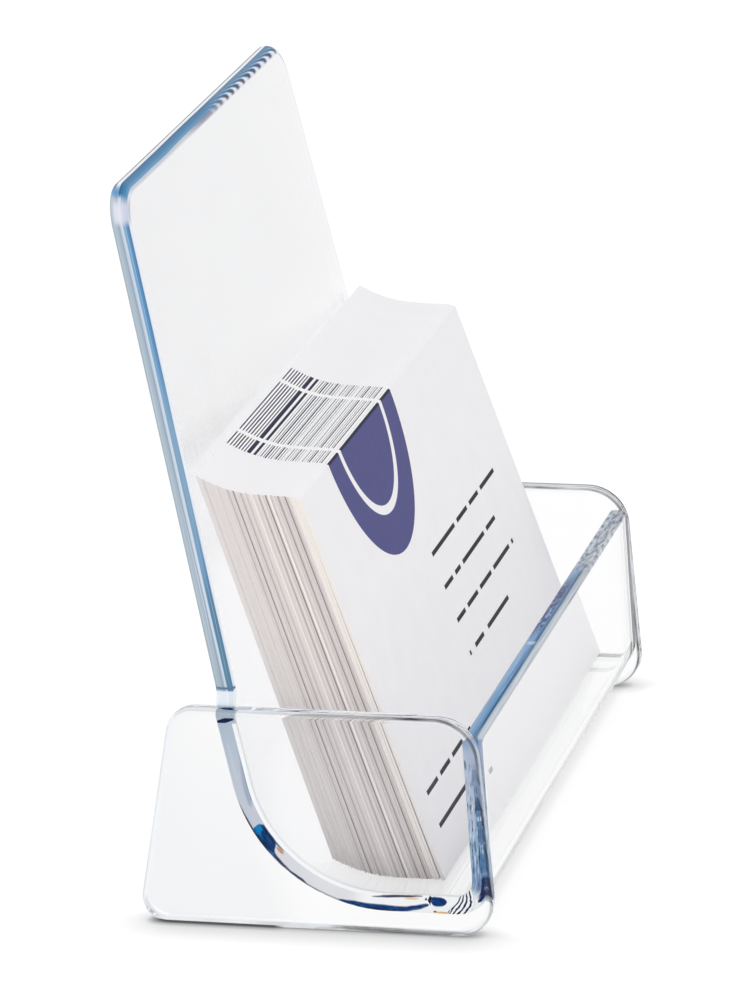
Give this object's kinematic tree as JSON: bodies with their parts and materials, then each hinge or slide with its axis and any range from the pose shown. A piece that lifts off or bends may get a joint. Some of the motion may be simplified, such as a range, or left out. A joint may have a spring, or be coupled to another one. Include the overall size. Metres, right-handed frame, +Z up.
{
  "type": "business card holder stand",
  "caption": "Clear acrylic desk stand with a curved pocket, low front lip, end plates and a tall leaning back panel, holding a pack of business cards.",
  "frame": {"origin": "on the table, below the middle of the stand's box", "axes": "+X along the width to the right seen from the front, +Y to the back, +Z up"},
  "size_m": [0.099, 0.0474, 0.0901],
  "materials": {
    "clear_acrylic": "clear, polished, with faintly blue edges",
    "cement": "clear cement film with small bubbles",
    "card_stock": "smooth white card with a printed indigo block"
  },
  "bodies": {
    "holder": {"pocket_sheet": "clear_acrylic", "left_end_plate": "clear_acrylic", "right_end_plate": "clear_acrylic", "left_cement_seam": "cement", "right_cement_seam": "cement"},
    "card_pack": {"card_02": "card_stock", "card_03": "card_stock", "card_04": "card_stock", "card_05": "card_stock", "card_06": "card_stock", "card_07": "card_stock", "card_08": "card_stock", "card_09": "card_stock", "card_10": "card_stock", "card_11": "card_stock", "card_12": "card_stock", "card_13": "card_stock", "card_14": "card_stock", "card_15": "card_stock", "card_16": "card_stock", "card_17": "card_stock", "card_18": "card_stock", "card_19": "card_stock", "card_20": "card_stock", "card_21": "card_stock", "card_22": "card_stock", "card_23": "card_stock", "card_24": "card_stock", "card_25": "card_stock", "card_26": "card_stock", "card_27": "card_stock", "card_28": "card_stock", "card_29": "card_stock", "card_30": "card_stock", "card_31": "card_stock", "card_32": "card_stock", "card_33": "card_stock", "card_34": "card_stock", "card_35": "card_stock", "card_36": "card_stock", "card_37": "card_stock", "card_38": "card_stock", "card_39": "card_stock", "card_40": "card_stock"},
    "drawn_card": {"front_card": "card_stock"}
  },
  "joints": [
    {"name": "pack_lift", "type": "slide", "parent": "holder", "child": "card_pack", "axis": [0, 0.2062, 0.9785], "range_m": [0, 0.09]},
    {"name": "front_card_lift", "type": "slide", "parent": "card_pack", "child": "drawn_card", "axis": [0, 0.3305, 0.9438], "range_m": [0, 0.055]}
  ]
}
